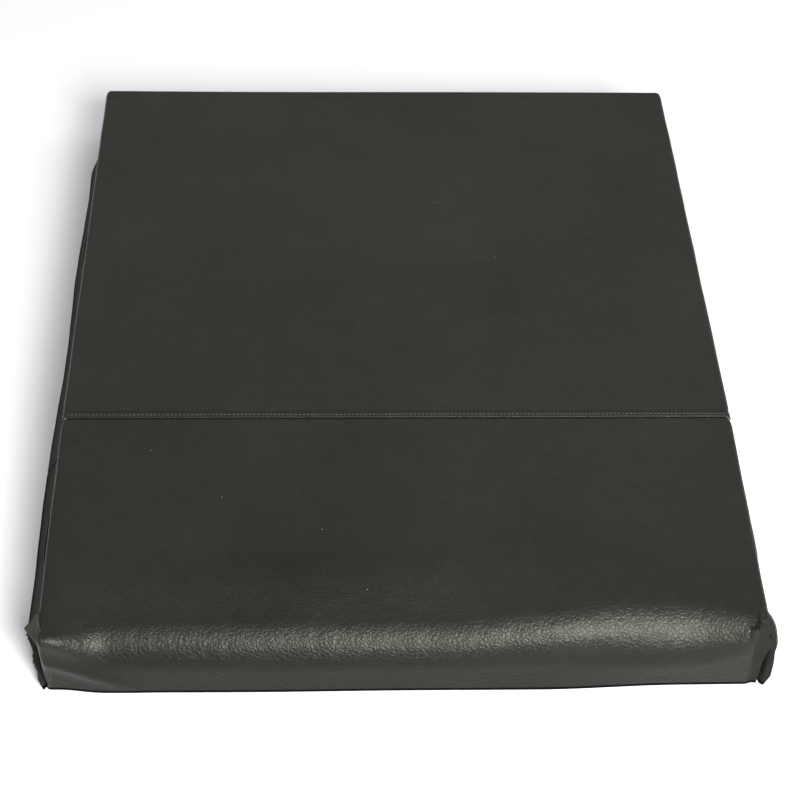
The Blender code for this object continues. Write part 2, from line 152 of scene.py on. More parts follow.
def capsule(point, start, end, radius_start, radius_end):
    start, end = np.array(start), np.array(end)
    along = end - start
    offset = [p - q for p, q in zip(point, start)]
    t = np.clip(sum(o * a for o, a in zip(offset, along)) / (along @ along), 0, 1)
    away = np.sqrt(sum((o - a * t) ** 2 for o, a in zip(offset, along)))
    return away - (radius_start + (radius_end - radius_start) * t)


def chain(point, beads):
    """Distance to a string of tapering capsules given as (place, radius)."""
    links = zip(beads, beads[1:])
    return np.minimum.reduce([capsule(point, a, b, ra, rb) for (a, ra), (b, rb) in links])


# Front corners, as (x, s from the front edge, z). The side skirt's vinyl ends in a fold that stands
# off the corner; its free edge runs from the top down, and it starts at a root (x, s) inside.
LEFT_EDGE = [
    (-0.7990, -0.082, 0.1740), (-0.8090, -0.075, 0.1640), (-0.8290, -0.057, 0.1500),
    (-0.8270, -0.050, 0.1324), (-0.8215, -0.040, 0.1168), (-0.8190, -0.035, 0.0945),
    (-0.8208, -0.030, 0.0793), (-0.8258, -0.025, 0.0645), (-0.8176, -0.020, 0.0412),
    (-0.8074, -0.010, 0.0200), (-0.7990, -0.004, 0.0005),
]
RIGHT_EDGE = [
    (0.7850, -0.070, 0.1850), (0.7975, -0.060, 0.1800), (0.8055, -0.050, 0.1735),
    (0.8115, -0.040, 0.1630), (0.8145, -0.031, 0.1520), (0.8165, -0.024, 0.1400),
    (0.8170, -0.017, 0.1294), (0.8145, -0.010, 0.0993), (0.8149, -0.005, 0.0762),
    (0.8150, -0.003, 0.0300), (0.8050, -0.003, 0.0005),
]
LEFT_ROOT, RIGHT_ROOT, PLEAT_ROOT = (-0.772, -0.062), (0.785, -0.047), (0.764, -0.014)
LEFT_CUT = ((-0.793, 0.000, 0.1000), (-0.8800, 0.4700, -0.0400))
LEFT_RIM = [
    ((-0.791, -0.018, 0.172), 0.0030), ((-0.788, -0.005, 0.140), 0.0034),
    ((-0.779, -0.002, 0.075), 0.0032), ((-0.784, -0.002, 0.020), 0.0020),
]
DOG_EAR = [
    (-0.801, -0.080, 0.176), (-0.790, -0.030, 0.179), (-0.797, -0.008, 0.150), (-0.831, -0.056, 0.151),
]
PLEAT_HOLLOW = [
    ((0.783, -0.056, 0.192), 0.007), ((0.788, -0.022, 0.188), 0.020), ((0.792, 0.010, 0.160), 0.038),
    ((0.795, 0.018, 0.110), 0.036), ((0.797, 0.024, 0.000), 0.020),
]
PLEAT_LIP = [
    (0.781, -0.058, 0.0022), (0.764, -0.041, 0.0055), (0.749, -0.027, 0.0060), (0.740, -0.014, 0.0025),
]
FOAM_EASE = 0.060
CORE_INSET, NOSE_INSET = 0.032, {"front": 0.104, "back": 0.030}
RAY_LENGTH, HALVINGS = 0.3, 24
CUT_BLEND = 0.006
FOLD_BLEND = 0.004
RIM_RADIUS = 0.0030
DRAIN_RADIUS = 0.0055


def fold_out(point, edge, root, root_half=0.009, tip_half=0.0022):
    """Distance, level by level, to a fold that stands out from its root to a free edge."""
    x, s, z = point
    places = np.array(edge)[::-1]
    run_x = np.interp(z, places[:, 2], places[:, 0]) - root[0]
    run_s = np.interp(z, places[:, 2], places[:, 1]) - root[1]
    t = np.clip(((x - root[0]) * run_x + (s - root[1]) * run_s) / (run_x**2 + run_s**2), 0, 1)
    away = np.hypot(x - root[0] - run_x * t, s - root[1] - run_s * t)
    return np.maximum(away - (root_half + (tip_half - root_half) * t), z - edge[0][2])


class Panel:
    """One panel's rounded solid."""

    def __init__(self, name):
        self.name, self.side, self.length = name, SIDE[name], LENGTH[name]
        self.front = name == "front"
        self.slope = (RIDGE_Z - EDGE_Z) / self.length
        self.lip = []
        if self.front:
            self.lip = [((x, s, self.level(x, s) - radius), radius) for x, s, radius in PLEAT_LIP]

    def y(self, s):
        return FOLD_Y + self.side * s

    def world(self, x, s, z):
        return stack(x, self.y(s), z)

    def nose(self, x):
        """Radius of the far edge: the front's swells to the right and tightens at the left corner."""
        if not self.front:
            return NOSE["back"] + 0 * x
        swell = SWELL + MIDDLE_SWELL * smooth(0.08, 0.32, x) + RIGHT_SWELL * smooth(0.30, 0.50, x)
        return (NOSE["front"] + swell * smooth(0.83, 0.62, x)) * (1 - 0.76 * smooth(-0.64, -0.79, x))

    def top(self, x, s):
        """Height of the top: it falls away from the fold, and the front one sags towards its edge."""
        level = RIDGE_Z - 0.0008 - self.slope * s
        settled = 0.0010 * smooth(0.0, 0.2, s) * hills(x, s, 0.6, 3)
        stitched = -GROOVE_DEPTH * bell(s - GROOVE_AT, GROOVE_WIDTH)
        far = s - self.length
        if self.front:
            slack = (SAG + LEFT_SAG * smooth(0.46, 0.02, x)) * smooth(0.80, 0.62, x)
            droop = -slack * (1 - 0.80 * smooth(-0.66, -0.79, x)) * smooth(-SAG_RUN, 0.0, far)
        else:
            droop = -0.0012 * bell(far + 0.045, 0.012)
        return level + settled + stitched + droop

    def side_wall(self, x, s, z, skirt):
        """Distance to the nearer side: band, seam and leaning skirt, gathered in towards the corners."""
        reach = s - self.length
        if self.front:
            gather = 1 - smooth(-TUCK_START, -TUCK_END, reach)
        else:
            gather = 1 - 0.8 * smooth(-0.16, 0.0, reach) * (x < 0)
        along = self.side * np.clip(s, 0, 1.2)
        lean = np.where(x < 0, LEFT_LEAN[0] - LEFT_LEAN[1] * along, RIGHT_LEAN[0] - RIGHT_LEAN[1] * along)
        ripple = 0.0045 * skirt * hills(s + 2.0 * np.sign(x), z * 0.5, 0.42, 11)
        seam = -SEAM_DIP * bell(z - SEAT, SEAM_WIDTH)
        wave = 0.0007 * hills(s, z * 1.4, 0.16, 5)
        eased = (0.0070 if self.front else 0.0035) * bell(s - 0.004, 0.014) * smooth(0.09, 0.17, z)
        flare = (SIDE_FLARE + lean) * gather * skirt**1.1
        return np.abs(x) - (HALF - 0.0008 - eased + wave + seam + ripple * gather + flare)

    def end_wall(self, x, s, z, skirt):
        """Distance to the far end, which is puffed out and kicks out a little at the hem."""
        wave = 0.0028 * skirt * hills(x + 5.0 * self.side, z * 0.5, 0.5, 7)
        kick = END_FLARE
        if self.front:
            pull = bell(z - 0.098 + 0.45 * (x + 0.775), 0.022) * smooth(-0.56, -0.74, x)
            puffed = 0.0025 * bell(z - SEAT, 0.05) * hills(x, z, 0.3, 9) + 0.0095 * pull
            kick = END_FLARE * (1 - smooth(0.30, 0.62, x)) * (1 - smooth(-0.66, -0.77, x))
        else:
            puffed = 0.0040 + 0.0045 * smooth(-0.3, 0.7, x) - SEAM_DIP * bell(z - SEAT, SEAM_WIDTH)
        return s - (self.length - 0.0006 + puffed + wave * 0.4 + kick * skirt)

    def distance(self, x, s, z, shape="folded"):
        """Signed distance; the shape adds the corner folds, or leaves room for what lies under them."""
        skirt = np.clip((SEAT - z) / SEAT, 0, 1)
        reach = s - self.length
        side, end = self.side_wall(x, s, z, skirt), self.end_wall(x, s, z, skirt)
        top = z - self.top(x, s)
        if self.front:
            top = top - 0.00045 * hills(x, s + z, 0.034, 21) * smooth(-0.11, -0.02, reach)
        body = rounded_and(top, end, self.nose(x))
        wall = smooth(-0.03, 0.03, end - top)
        corner = np.where((x < 0) & self.front, LEFT_CORNER_RADIUS, CORNER_RADIUS[self.name])
        plain = rounded_and(body, side, EDGE_RADIUS + (corner - EDGE_RADIUS) * wall)
        if shape == "inner":
            return np.maximum(plain, (np.abs(x) - HALF + reach + FOAM_EASE) * 0.7071)
        if shape == "plain" or not self.front:
            return plain
        point = (x, reach, z)
        place, normal = LEFT_CUT
        cut = sum(n * (c - q) for n, c, q in zip(normal, point, place))
        body = rounded_and(plain, cut, CUT_BLEND)
        body = -joined(-body, chain(point, PLEAT_HOLLOW), FOLD_BLEND)
        if shape == "within":
            return np.maximum(plain, body)
        folds = [
            fold_out(point, LEFT_EDGE, LEFT_ROOT),
            fold_out(point, RIGHT_EDGE, RIGHT_ROOT, tip_half=0.0036),
            fold_out(point, RIGHT_EDGE, PLEAT_ROOT, 0.005),
            chain(point, LEFT_RIM),
            chain(point, self.lip),
        ]
        for fold in folds:
            body = joined(body, fold, FOLD_BLEND)
        return body

    def cast(self, start, direction, inset, shape="folded"):
        """Where each ray leaves the solid shrunk by inset."""
        low, high = np.zeros(len(start)), np.full(len(start), RAY_LENGTH)
        for _ in range(HALVINGS):
            middle = (low + high) / 2
            point = start + direction * middle[:, None]
            inside = self.distance(*point.T, shape) < -inset
            low, high = np.where(inside, middle, low), np.where(inside, high, middle)
        return start + direction * low[:, None]

    def level(self, x, reach):
        """Height of the plain surface at one place, reach from the far edge."""
        start = np.array([[x, self.length + reach, 0.05]])
        return float(self.cast(start, np.array([0.0, 0.0, 1.0]), 0.0, "plain")[0, 2])

    def flank(self, s, z, sign, proud=0.0):
        """Points on the side wall."""
        s, z = (values.ravel() for values in np.broadcast_arrays(s, z))
        start = stack(sign * (HALF - 0.05), s, z)
        hit = self.cast(start, np.array([sign, 0.0, 0.0]), 0.0, "plain")
        return self.world(hit[:, 0] + sign * proud, s, z)


panels = {name: Panel(name) for name in SIDE}


def spread(*stretches):
    """Positions from 0 along a line, each stretch given as (end, step)."""
    values, at = [0.0], 0.0
    for end, step in stretches:
        count = max(1, round((end - at) / step))
        values += [at + (end - at) * (i + 1) / count for i in range(count)]
        at = end
    return np.array(values)


def skin_grid(panel, inset, low=0.0, hinge=0.0062, coarse=1.0, shape="folded"):
    """Grid of points over the top and down three walls, from s = hinge out, down to z = low."""
    inset_x, inset_s = CORE_INSET, NOSE_INSET[panel.name]
    reach = max(inset_x, inset_s)
    flat = spread((reach * 0.6, 0.0032 * coarse), (reach, 0.0024 * coarse))
    drop = spread((0.03, 0.0028 * coarse), (EDGE_Z, 0.0042 * coarse))
    steps = len(flat) + len(drop) - 2
    half_across = spread((HALF - inset_x - 0.14, 0.007 * coarse), (HALF - inset_x, 0.005 * coarse))
    far = panel.length - inset_s - hinge
    steps_along = ((0.015, 0.0009), (0.03, 0.003), (far - 0.09, 0.012), (far, 0.005))
    along = hinge + spread(*((end, step * coarse) for end, step in steps_along))
    across = np.concatenate([-half_across[:0:-1], half_across])
    columns, rows = len(across) + 2 * steps, len(along) + steps
    i, j = np.meshgrid(np.arange(columns), np.arange(rows), indexing="ij")
    left, right = steps - i, i - (columns - 1 - steps)
    out_x = np.clip(np.maximum(left, right), 0, None)
    out_s = np.clip(j - (rows - 1 - steps), 0, None)
    sign = np.where(left > 0, -1.0, 1.0)
    core_x = across[np.clip(i - steps, 0, len(across) - 1)]
    core_s = along[np.clip(j, 0, len(along) - 1)]
    ring = np.maximum(out_x, out_s)
    part = np.minimum(out_x, out_s) / np.maximum(ring, 1)
    to_end = np.where(out_x >= out_s, 0.5 * part, 1 - 0.5 * part) * (ring > 0)
    ring_flat = np.interp(ring, np.arange(len(flat)), flat) / reach
    fallen = np.interp(ring - (len(flat) - 1), np.arange(len(drop)), drop / drop[-1])
    target_x = core_x + sign * ring_flat * inset_x * np.where(out_x >= out_s, 1.0, part) * (out_x > 0)
    target_s = core_s + ring_flat * inset_s * np.where(out_s >= out_x, 1.0, part) * (out_s > 0)
    top = panel.top(core_x, core_s)
    target_z = top + (low - top) * fallen
    depth = inset_x + (inset_s - inset_x) * to_end
    anchor_z = np.where(ring > 0, np.minimum(target_z, np.maximum(top - depth, low)), top - 0.02)
    start = stack(core_x, core_s, anchor_z).reshape(-1, 3)
    target = stack(target_x, target_s, np.where(ring > 0, target_z, top)).reshape(-1, 3)
    direction = target - start
    direction /= np.linalg.norm(direction, axis=1)[:, None]
    points = panel.cast(start, direction, inset, shape)
    if low < SEAT:
        split = smooth(SEAT + 0.012, SEAT - 0.004, points[:, 2]) * smooth(0.06, 0.0, points[:, 1])
        points[:, 1] -= split * (hinge - 0.003)
    number = i * rows + j
    quads = stack(number[:-1, :-1], number[1:, :-1], number[1:, 1:], number[:-1, 1:]).reshape(-1, 4)
    return panel.world(*points.T), quads[:, ::-1] if panel.front else quads, (columns, rows)


# ------------------------------------------------------------------ mesh helpers
def link(name, data):
    obj = bpy.data.objects.new(name, data)
    bpy.context.scene.collection.objects.link(obj)
    return obj


def mesh_object(name, points, faces, material, flat=False):
    mesh = bpy.data.meshes.new(name)
    mesh.from_pydata(np.reshape(points, (-1, 3)).tolist(), [], [list(map(int, f)) for f in faces])
    mesh.validate()
    if not flat:
        mesh.shade_smooth()
    mesh.materials.append(material)
    return link(name, mesh)


def thicken(obj, thickness, offset=-1):
    sheet = obj.modifiers.new("thickness", "SOLIDIFY")
    sheet.thickness, sheet.offset, sheet.use_even_offset = thickness, offset, False
    return obj


def bevel(obj, width, segments=2):
    soften = obj.modifiers.new("soft edges", "BEVEL")
    soften.width, soften.segments = width, segments
    soften.limit_method, soften.angle_limit = "ANGLE", math.radians(35)


def grid_faces(rows, columns, flip=False):
    number = np.arange(rows * columns).reshape(rows, columns)
    quads = stack(number[:-1, :-1], number[:-1, 1:], number[1:, 1:], number[1:, :-1]).reshape(-1, 4)
    return quads[:, ::-1] if flip else quads


def swept_faces(rings, count, capped=True):
    """Quads between rings of count points each, with flat faces over both ends."""
    faces = [
        (r * count + k, r * count + (k + 1) % count, (r + 1) * count + (k + 1) % count, (r + 1) * count + k)
        for r in range(rings - 1) for k in range(count)
    ]
    if capped:
        faces += [tuple(range(count))[::-1], tuple(range((rings - 1) * count, rings * count))]
    return faces


def plate(name, loops, thickness, matrix, material, width=0.0):
    """A flat outline with holes, given thickness and softened edges."""
    curve = bpy.data.curves.new(name, "CURVE")
    curve.dimensions, curve.fill_mode, curve.extrude = "2D", "BOTH", thickness / 2
    for loop in loops:
        spline = curve.splines.new("POLY")
        spline.points.add(len(loop) - 1)
        for point, (u, v) in zip(spline.points, loop):
            point.co = (u, v, 0, 1)
        spline.use_cyclic_u = True
    shape = link(name, curve)
    bpy.context.view_layer.update()
    mesh = bpy.data.meshes.new_from_object(shape.evaluated_get(bpy.context.evaluated_depsgraph_get()))
    bpy.data.objects.remove(shape)
    mesh.transform(matrix)
    mesh.materials.clear()
    mesh.materials.append(material)
    obj = link(name, mesh)
    weld = obj.modifiers.new("weld", "WELD")
    weld.merge_threshold = 0.00002
    if width:
        bevel(obj, width)
    return obj


def smooth_path(points, step):
    """A rounded path through the points, sampled about every step."""
    points = np.array(points, float)
    padded = np.vstack([2 * points[0] - points[1], points, 2 * points[-1] - points[-2]])
    samples = []
    for a, b, c, d in zip(padded, padded[1:], padded[2:], padded[3:]):
        count = max(2, round(np.linalg.norm(c - b) / step))
        for t in np.arange(count) / count:
            bend, twist = 2 * a - 5 * b + 4 * c - d, 3 * b - a - 3 * c + d
            samples.append(0.5 * (2 * b + (c - a) * t + bend * t**2 + twist * t**3))
    return np.array(samples + [points[-1]])


def tangents(path):
    step = np.gradient(path, axis=0)
    return step / np.linalg.norm(step, axis=1)[:, None]


def ribbon(name, path, across, width, thickness, material):
    """Webbing swept along a path: a flat strap with rounded, slightly thinner selvedges."""
    across = np.array(across, float)
    along = tangents(path)
    normal = np.cross(along, across)
    edge = [(0.85, 0.86), (0.97, 0.8)]
    outline = [(-1, 0), *((-u, v) for u, v in edge[::-1]), (-0.5, 1), (0, 0.96), (0.5, 1), *edge]
    outline += [(1, 0)] + [(-u, -v) for u, v in outline[1:8]]
    rings = [path + across * (u * width / 2) + normal * (v * thickness / 2) for u, v in outline]
    return mesh_object(name, np.stack(rings, axis=1), swept_faces(len(path), len(outline)), material)


def stitches(name, path, normal, body, pitch=0.0055, length=0.0038, radius=0.00042, yarn=None):
    """A row of separate stitches lying along a path, each pinched into the vinyl at both ends."""
    path = np.asarray(path, float)
    travelled = np.concatenate([[0], np.cumsum(np.linalg.norm(np.diff(path, axis=0), axis=1))])
    at = np.arange(pitch, travelled[-1] - pitch / 2, pitch)
    centre, along = (
        stack(*(np.interp(at, travelled, column) for column in values.T))
        for values in (path, tangents(path))
    )
    up = np.broadcast_to(np.asarray(normal, float), along.shape)
    beside = np.cross(up, along)
    profile = [(-0.5, 0.45, -1.1), (-0.34, 0.95, -0.1), (0, 1.0, 0.25), (0.34, 0.95, -0.1), (0.5, 0.45, -1.1)]
    sides = 6
    rings = []
    for t, size, rise in profile:
        for k in range(sides):
            angle = 2 * math.pi * k / sides
            lift, shift = radius * (rise + size * math.sin(angle)), radius * size * math.cos(angle)
            rings.append(centre + along * (t * length) + up * lift + beside * shift)
    single = np.array(swept_faces(len(profile), sides, capped=False))
    faces = (single[None] + (np.arange(len(at)) * len(profile) * sides)[:, None, None]).reshape(-1, 4)
    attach(mesh_object(name, np.stack(rings, axis=1), faces, yarn or DARK_THREAD), body)


# ------------------------------------------------------------------ materials
class Nodes:
    """Short calls for building one material's nodes."""

    def __init__(self, name):
        self.material = bpy.data.materials.new(name)
        self.material.use_nodes = True
        self.tree = self.material.node_tree
        self.shader = self.tree.nodes["Principled BSDF"]
        self.place = self.add("ShaderNodeTexCoord").outputs["Object"]

    def add(self, kind, inputs=(), **settings):
        """A node with its settings, and with values or links put into some of its inputs."""
        node = self.tree.nodes.new(kind)
        for key, value in settings.items():
            setattr(node, key, value)
        for key, value in dict(inputs).items():
            self.put(value, node.inputs[key])
        return node

    def put(self, value, socket):
        if isinstance(value, bpy.types.NodeSocket):
            self.tree.links.new(value, socket)
        else:
            socket.default_value = value

    def warped(self, scale, amount):
        """Object coordinates pushed about by noise, so that no pattern runs straight."""
        noise = self.add("ShaderNodeTexNoise", {"Vector": self.place, "Scale": scale}).outputs["Color"]
        push = self.add("ShaderNodeVectorMath", {0: noise, "Scale": amount}, operation="SCALE").outputs[0]
        return self.add("ShaderNodeVectorMath", {0: self.place, 1: push}, operation="ADD").outputs[0]

    def axis(self, index):
        return self.add("ShaderNodeSeparateXYZ", {0: self.place}).outputs[index]

    def noise(self, scale, detail=3.0, rough=0.55, place=None):
        inputs = {"Vector": place or self.place, "Scale": scale, "Detail": detail, "Roughness": rough}
        return self.add("ShaderNodeTexNoise", inputs).outputs["Fac"]

    def cells(self, scale, feature="DISTANCE_TO_EDGE", place=None, output="Distance"):
        inputs = {"Vector": place or self.place, "Scale": scale}
        return self.add("ShaderNodeTexVoronoi", inputs, feature=feature).outputs[output]

    def math(self, operation, a, b=0.0, c=0.0):
        return self.add("ShaderNodeMath", {0: a, 1: b, 2: c}, operation=operation).outputs[0]

    def blend(self, a, share_a, b, share_b):
        return self.math("MULTIPLY_ADD", a, share_a, self.math("MULTIPLY", b, share_b))

    def wave(self, axis, pitch):
        """A ridge every pitch along one axis, from 0 to 1."""
        turned = self.math("SINE", self.math("MULTIPLY", self.axis(axis), 2 * math.pi / pitch))
        return self.math("MULTIPLY_ADD", turned, 0.5, 0.5)

    def span(self, value, from_low, from_high, to_low, to_high):
        values = (value, from_low, from_high, to_low, to_high)
        return self.add("ShaderNodeMapRange", enumerate(values)).outputs[0]

    def ramp(self, value, *stops):
        node = self.add("ShaderNodeValToRGB", {"Fac": value})
        for element, (position, colour) in zip(node.color_ramp.elements, stops):
            element.position = position
            element.color = (*colour, 1)
        return node.outputs["Color"]

    def mix(self, factor, a, b):
        colours = [(*value, 1) if isinstance(value, tuple) else value for value in (a, b)]
        inputs = {"Factor": factor, 6: colours[0], 7: colours[1]}
        return self.add("ShaderNodeMix", inputs, data_type="RGBA").outputs[2]

    def bump(self, height, strength, distance):
        inputs = {"Strength": strength, "Distance": distance, "Height": height}
        return self.add("ShaderNodeBump", inputs).outputs["Normal"]

    def finish(self, colour, roughness, normal=None, metallic=0.0, **constants):
        inputs = self.shader.inputs
        self.put((*colour, 1) if isinstance(colour, tuple) else colour, inputs["Base Color"])
        self.put(roughness, inputs["Roughness"])
        inputs["Metallic"].default_value = metallic
        if normal:
            self.put(normal, inputs["Normal"])
        for key, value in constants.items():
            inputs[key.replace("_", " ")].default_value = value
        return self.material


VINYL_SHADES = ((0.0070, 0.0074, 0.0056), (0.0138, 0.0144, 0.0114))
# Colour of the painted shade that is mixed into the vinyl.
VINYL_PAINTED_SHADE = (0.0040, 0.0042, 0.0034)
DUST = (0.13, 0.125, 0.115)


def dimmed(colour, factor):
    return tuple(c * factor for c in colour)


def vinyl(name, grain, dust, shaded=True, painted_light_factor=1.0):
    """Black leather-grain vinyl: warped pebbles, creases between them, slow mottling, some dust. Painted
    shade darkens the fold's stitched grooves and, when shaded, the walls, the outer strip of the side bands
    and the front-right corner facet; a brightening factor above 1 makes a lighter copy that is a painted
    highlight.
    """
    n = Nodes(name)
    place = n.warped(55, 0.012)
    pebble = n.math("POWER", n.cells(105, place=place), 0.5)
    fine = n.math("POWER", n.cells(330, place=place), 0.6)
    crease = n.noise(60, 3, 0.55, place)
    height = n.math("MULTIPLY_ADD", pebble, 0.8, n.math("MULTIPLY_ADD", fine, 0.12, crease))
    normal = n.bump(height, grain, 0.0035)
    cloud = n.blend(n.noise(2.3, 5, 0.55), 0.7, n.noise(26, 4, 0.6), 0.3)
    # A brightening factor above 1 lightens the mottling and makes a painted highlight.
    dark, light = (dimmed(shade, painted_light_factor) for shade in VINYL_SHADES)
    colour = n.ramp(cloud, (0.32, dark), (0.70, light))
    # Painted shade: the outermost strip of each side is darkened, and also made rougher.
    outward = n.span(n.math("ABSOLUTE", n.axis(0)), HALF - 0.004, HALF + 0.003, 0, 1 if shaded else 0)
    if shaded:
        front_y = FOLD_Y - LENGTH["front"]
        # Painted shade in the recessed facet at the front-right corner.
        beside = n.span(n.axis(0), HALF - 0.042, HALF - 0.028, 0, 1)
        ahead = n.span(n.axis(1), front_y + 0.052, front_y + 0.034, 0, 1)
        outward = n.math("MAXIMUM", outward, n.math("MULTIPLY", beside, ahead))
    # Painted shade along the stitched grooves a little way either side of the fold.
    from_fold = n.math("ABSOLUTE", n.math("SUBTRACT", n.axis(1), FOLD_Y))
    seam = n.span(n.math("ABSOLUTE", n.math("SUBTRACT", from_fold, GROOVE_AT)), 0.0010, 0.0044, 0.85, 0)
    # Painted shade: the walls darken from 0.14 m down to 0.09 m and stay dark below that.
    wall = n.span(n.axis(2), 0.140, 0.090, 0, 0.85 if shaded else 0)
    painted_shade = n.math("MAXIMUM", wall, n.math("MULTIPLY", outward, 0.75))
    # Mixes in the painted-shade colour wherever one of these masks is set.
    colour = n.mix(n.math("MAXIMUM", seam, painted_shade), colour, VINYL_PAINTED_SHADE)
    rough = n.span(n.noise(7, 4, 0.6), 0.3, 0.7, 0.32, 0.40)
    rough = n.math("MULTIPLY_ADD", outward, 0.36, rough)
    if dust:
        speck = n.math("LESS_THAN", n.cells(12, "F1"), 0.018)
        few = n.math("GREATER_THAN", n.cells(12, "F1", output="Color"), 0.42)
        colour = n.mix(n.math("MULTIPLY", speck, few), colour, DUST)
    tint = (1.0, 1.0, 0.90, 1)
    return n.finish(colour, rough, normal, IOR=1.48, Specular_IOR_Level=0.25, Specular_Tint=tint)


def woven(name, dark, light, axes, pitch, roughness, sheen=0.2, **constants):
    """Plain weave: crossing ridges along two axes, one shade in the hollows and one on the yarn."""
    n = Nodes(name)
    warp, weft = (n.wave(axis, pitch) for axis in axes)
    over = n.math("MULTIPLY", warp, weft)
    under = n.math("MULTIPLY", n.math("SUBTRACT", 1.0, warp), n.math("SUBTRACT", 1.0, weft))
    height = n.math("ADD", over, under)
    fuzz = n.math("MULTIPLY_ADD", n.noise(900, 2, 0.6), 0.25, height)
    colour = n.ramp(n.blend(n.noise(14, 3, 0.5), 0.35, height, 0.65), (0.15, dark), (0.85, light))
    normal = n.bump(fuzz, 0.6, pitch * 0.35)
    return n.finish(colour, roughness, normal, Sheen_Weight=sheen, **constants)


def foam(name, dark, light, bead, roughness):
    """Moulded beads or open cells."""
    n = Nodes(name)
    cell = n.cells(1 / bead, "F1")
    colour = n.ramp(n.blend(n.noise(5, 3, 0.5), 0.4, cell, 0.7), (0.2, light), (0.8, dark))
    return n.finish(colour, roughness, n.bump(cell, 0.5, bead * 0.25))


def metal(name, dark, light, brush, roughness):
    """Metal brushed along x, dulled in patches."""
    n = Nodes(name)
    stretched = n.add("ShaderNodeMapping", {"Scale": (0.06, 1, 1), "Vector": n.place}).outputs[0]
    lines = n.noise(brush, 3, 0.6, stretched)
    colour = n.ramp(n.blend(n.cells(90, "F1"), 0.5, lines, 0.5), (0.25, dark), (0.75, light))
    rough = n.span(lines, 0.3, 0.7, roughness - 0.08, roughness + 0.12)
    return n.finish(colour, rough, n.bump(lines, 0.15, 0.0004), metallic=1.0)


def plastic(name, colour, roughness):
    n = Nodes(name)
    shade = n.ramp(n.noise(30, 3, 0.5), (0.3, dimmed(colour, 0.8)), (0.7, dimmed(colour, 1.25)))
    rough = n.span(n.noise(60, 3, 0.5), 0.3, 0.7, roughness - 0.06, roughness + 0.08)
    return n.finish(shade, rough, n.bump(n.noise(1400, 2, 0.5), 0.2, 0.0003))


def film(name):
    """Milky polythene with soft folds."""
    n = Nodes(name)
    folds = n.noise(11, 4, 0.6)
    colour = n.ramp(folds, (0.3, (0.52, 0.57, 0.62)), (0.7, (0.68, 0.72, 0.76)))
    return n.finish(colour, n.span(folds, 0.3, 0.7, 0.18, 0.34), n.bump(folds, 0.4, 0.004))


def thread(name, colour):
    n = Nodes(name)
    diagonal = n.math("ADD", n.axis(0), n.math("ADD", n.axis(1), n.axis(2)))
    ply = n.math("SINE", n.math("MULTIPLY", diagonal, 9000.0))
    shade = n.ramp(n.noise(120, 2, 0.5), (0.3, dimmed(colour, 0.75)), (0.7, dimmed(colour, 1.2)))
    return n.finish(shade, 0.7, n.bump(ply, 0.3, 0.0002), Sheen_Weight=0.15)


VINYL = vinyl("vinyl_leather_grain", 0.30, True)
VINYL_TRIM = vinyl("vinyl_trim", 0.30, False)
# Lighter copy of the vinyl, 3.2 times brighter: a painted highlight for the rolled rims and the dog-ear.
VINYL_PAINTED_HIGHLIGHT = vinyl("vinyl_edge", 0.25, False, shaded=False, painted_light_factor=3.2)
# Near-black, matte band along the hem: a painted shadow under the cover's lower edge.
HEM_SHADOW_TONES = ((0.0012, 0.0012, 0.0012), (0.0030, 0.0030, 0.0030))
HEM_PAINTED_SHADOW = woven("hem_binding", *HEM_SHADOW_TONES, (0, 2), 0.0012, 0.9, 0.0, Specular_IOR_Level=0.05)
LINER = woven("liner_weave", (0.020, 0.021, 0.023), (0.060, 0.062, 0.066), (0, 1), 0.0022, 0.85)
WEB = {
    use: woven(f"webbing_{use}", (0.006, 0.006, 0.006), (0.020, 0.020, 0.020), axes, 0.0016, 0.75, 0.4)
    for use, axes in (("flat", (0, 1)), ("handle", (1, 2)), ("strap", (0, 2)))
}
FOAM = foam("bead_foam", (0.66, 0.68, 0.72), (0.84, 0.85, 0.88), 0.0042, 0.85)
SOFT_FOAM = foam("gasket_foam", (0.045, 0.045, 0.048), (0.11, 0.11, 0.12), 0.0016, 0.95)
POLY = film("vapour_film")
STEEL = metal("galvanised", (0.34, 0.36, 0.38), (0.66, 0.68, 0.70), 220, 0.38)
ZINC = metal("zinc_die_cast", (0.20, 0.20, 0.21), (0.36, 0.37, 0.38), 900, 0.36)
BRASS = metal("turned_brass", (0.50, 0.34, 0.13), (0.78, 0.58, 0.28), 1200, 0.30)
PLASTIC = plastic("buckle_plastic", (0.016, 0.016, 0.017), 0.42)
TEETH = plastic("zip_teeth", (0.013, 0.013, 0.014), 0.36)
SEAM_THREAD = thread("seam_thread", (0.062, 0.062, 0.057))
DARK_THREAD = thread("dark_thread", (0.014, 0.014, 0.013))


def stands_for(obj, body, slot, *nodes):
    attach(obj, body)
    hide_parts(*nodes)


def on_panel(p, obj, slot, *nodes):
    """Puts a piece on panel p in place of the panel's own CAD nodes, given without its name."""
    stands_for(obj, f"{p}_panel", slot, *(f"{p}_{node}" for node in nodes))


# ------------------------------------------------------------------ skins, film and foam
def outer_skin(panel):
    p = panel.name
    points, quads, _ = skin_grid(panel, 0.0, coarse=1.0 if panel.front else 1.35)
    skin = thicken(mesh_object(f"{p}_vinyl_skin", points, quads, VINYL), SKIN)
    # Faces below the hem height take the painted-shadow band.
    skin.data.materials.append(HEM_PAINTED_SHADOW)
    for face in skin.data.polygons:
        face.material_index = int(face.center.z < HEM_SHADOW_HEIGHT)
    parts = ["top_skin", "left_band", "right_band", "left_skirt", "right_skirt", "end_skirt"]
    if not panel.front:
        parts.append("end_band")
    on_panel(p, skin, "black_vinyl", *parts)


